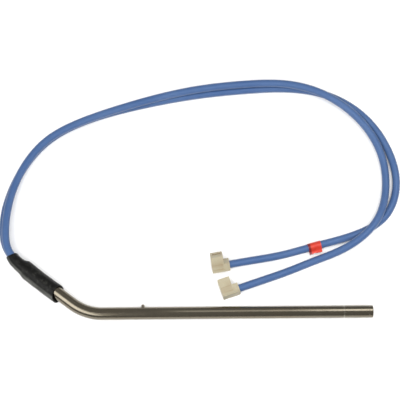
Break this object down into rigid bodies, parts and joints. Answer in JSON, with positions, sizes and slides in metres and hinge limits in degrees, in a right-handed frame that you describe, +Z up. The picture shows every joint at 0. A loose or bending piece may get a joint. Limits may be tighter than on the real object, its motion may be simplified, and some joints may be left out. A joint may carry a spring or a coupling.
{
  "type": "bent tubular heating element",
  "caption": "Bent stainless sheath with a heating coil inside, a black shrink boot and two long blue leads ending in ivory flag connectors.",
  "frame": {"origin": "centre of the sheath's closed tip face, on the axis of its straight part", "axes": "+X along the straight part, out of the tip; +Y towards the side that the sheath bends to; +Z up from the surface it lies on"},
  "size_m": [0.3267, 0.2001, 0.0193],
  "materials": {
    "stainless": "drawn and lightly polished",
    "ceramic": "matt fired",
    "nickel_alloy": "drawn wire",
    "shrink_boot": "satin",
    "silicone": "satin",
    "strand": "tinned strand",
    "ivory_nylon": "moulded satin",
    "terminal": "tinned sheet",
    "marker_tape": "soft vinyl"
  },
  "bodies": {
    "element": {"sheath_tube": "stainless", "end_disc": "stainless", "locating_stud": "stainless", "ceramic_core": "ceramic", "heating_coil": "nickel_alloy", "magnesia_fill": "ceramic", "pin_a": "nickel_alloy", "pin_b": "nickel_alloy", "end_bushing": "ceramic", "splice_a": "nickel_alloy", "splice_b": "nickel_alloy", "splice_sleeve_a": "silicone", "splice_sleeve_b": "silicone", "boot": "shrink_boot", "lead_a": "silicone", "lead_b": "silicone", "conductor_a": "strand", "conductor_b": "strand", "marker": "marker_tape", "housing_a": "ivory_nylon", "housing_b": "ivory_nylon", "receptacle_a": "terminal", "receptacle_b": "terminal"},
    "cover_a": {"cover_a": "ivory_nylon"},
    "cover_b": {"cover_b": "ivory_nylon"}
  },
  "joints": [
    {"name": "cover_a_hinge", "type": "hinge", "parent": "element", "child": "cover_a", "pos_m": [-0.12025, 0.03348, 0.0006], "axis": [-0.9864, -0.1644, 0], "range_deg": [0, 95]},
    {"name": "cover_b_hinge", "type": "hinge", "parent": "element", "child": "cover_b", "pos_m": [-0.11257, 0.01465, 0.00462], "axis": [-0.9487, -0.3162, 0], "range_deg": [0, 105]}
  ]
}
